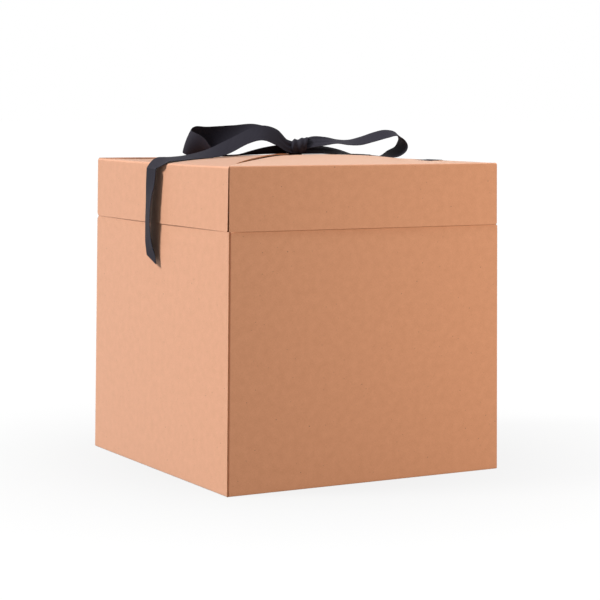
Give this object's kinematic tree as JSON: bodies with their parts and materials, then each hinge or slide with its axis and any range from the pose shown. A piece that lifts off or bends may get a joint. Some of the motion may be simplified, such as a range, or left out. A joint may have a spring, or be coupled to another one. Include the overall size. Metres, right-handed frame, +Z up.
{
  "type": "gift box",
  "caption": "cube gift box folded from card, with hinged upper panels and triangular roof flaps held shut by a ribbon bow; the bow lifts off and the top opens outward",
  "frame": {"origin": "middle of the underside of the box, on the surface it stands on", "axes": "+Z up; the front face is -Y, the left face, over which a ribbon tail hangs, is -X"},
  "size_m": [0.2264, 0.22, 0.2449],
  "materials": {
    "card": "matt copper-brown solid board with a faint paper grain",
    "ribbon": "charcoal-black woven ribbon with fine cross ribs and a soft sheen"
  },
  "bodies": {
    "box": {"wall_front": "card", "wall_right": "card", "wall_back": "card", "wall_left": "card", "glue_tab": "card", "bottom_flap_front": "card", "bottom_flap_right": "card", "bottom_flap_back": "card", "bottom_flap_left": "card"},
    "bow": {"bow_knot": "ribbon", "bow_loop_left": "ribbon", "bow_loop_right": "ribbon", "ribbon_run_left": "ribbon", "ribbon_run_right": "ribbon"},
    "tail_left": {"ribbon_tail_left": "ribbon"},
    "tail_right": {"ribbon_tail_right": "ribbon"},
    "panel_front": {"upper_panel_front": "card"},
    "flap_front": {"top_flap_front": "card"},
    "panel_right": {"upper_panel_right": "card"},
    "flap_right": {"top_flap_right": "card", "ribbon_lead_right": "ribbon"},
    "panel_back": {"upper_panel_back": "card"},
    "flap_back": {"top_flap_back": "card"},
    "panel_left": {"upper_panel_left": "card"},
    "flap_left": {"top_flap_left": "card", "ribbon_lead_left": "ribbon"}
  },
  "joints": [
    {"name": "bow_lift", "type": "slide", "parent": "box", "child": "bow", "axis": [0, 0, 1], "range_m": [0, 0.4]},
    {"name": "panel_front_fold", "type": "hinge", "parent": "box", "child": "panel_front", "pos_m": [0, -0.11005, 0.17605], "axis": [1, 0, 0], "range_deg": [0, 90.1]},
    {"name": "flap_front_fold", "type": "hinge", "parent": "panel_front", "child": "flap_front", "pos_m": [0, -0.11, 0.22], "axis": [1, 0, 0], "range_deg": [0, 90.1]},
    {"name": "panel_right_fold", "type": "hinge", "parent": "box", "child": "panel_right", "pos_m": [0.11005, 0, 0.17605], "axis": [0, 1, 0], "range_deg": [0, 90.1]},
    {"name": "flap_right_fold", "type": "hinge", "parent": "panel_right", "child": "flap_right", "pos_m": [0.11, 0, 0.22], "axis": [0, 1, 0], "range_deg": [0, 90.1]},
    {"name": "panel_back_fold", "type": "hinge", "parent": "box", "child": "panel_back", "pos_m": [0, 0.11005, 0.17605], "axis": [-1, 0, 0], "range_deg": [0, 90.1]},
    {"name": "flap_back_fold", "type": "hinge", "parent": "panel_back", "child": "flap_back", "pos_m": [0, 0.11, 0.22], "axis": [-1, 0, 0], "range_deg": [0, 90.1]},
    {"name": "panel_left_fold", "type": "hinge", "parent": "box", "child": "panel_left", "pos_m": [-0.11005, 0, 0.17605], "axis": [0, -1, 0], "range_deg": [0, 90.1]},
    {"name": "flap_left_fold", "type": "hinge", "parent": "panel_left", "child": "flap_left", "pos_m": [-0.11, 0, 0.22], "axis": [0, -1, 0], "range_deg": [0, 90.1]},
    {"name": "tail_left_swing", "type": "hinge", "parent": "bow", "child": "tail_left", "pos_m": [-0.1129, 0, 0.2205], "axis": [0, 1, 0], "range_deg": [0, 90.1]},
    {"name": "tail_right_swing", "type": "hinge", "parent": "bow", "child": "tail_right", "pos_m": [0.1129, 0, 0.2205], "axis": [0, -1, 0], "range_deg": [0, 90.1]}
  ],
  "couplings": [
    {"joint": "panel_front_fold", "follows": "bow_lift", "rad_per_m": 3.927},
    {"joint": "flap_front_fold", "follows": "bow_lift", "rad_per_m": 3.927},
    {"joint": "panel_right_fold", "follows": "bow_lift", "rad_per_m": 3.927},
    {"joint": "flap_right_fold", "follows": "bow_lift", "rad_per_m": 3.927},
    {"joint": "panel_back_fold", "follows": "bow_lift", "rad_per_m": 3.927},
    {"joint": "flap_back_fold", "follows": "bow_lift", "rad_per_m": 3.927},
    {"joint": "panel_left_fold", "follows": "bow_lift", "rad_per_m": 3.927},
    {"joint": "flap_left_fold", "follows": "bow_lift", "rad_per_m": 3.927},
    {"joint": "tail_left_swing", "follows": "bow_lift", "rad_per_m": 3.927},
    {"joint": "tail_right_swing", "follows": "bow_lift", "rad_per_m": 3.927}
  ]
}
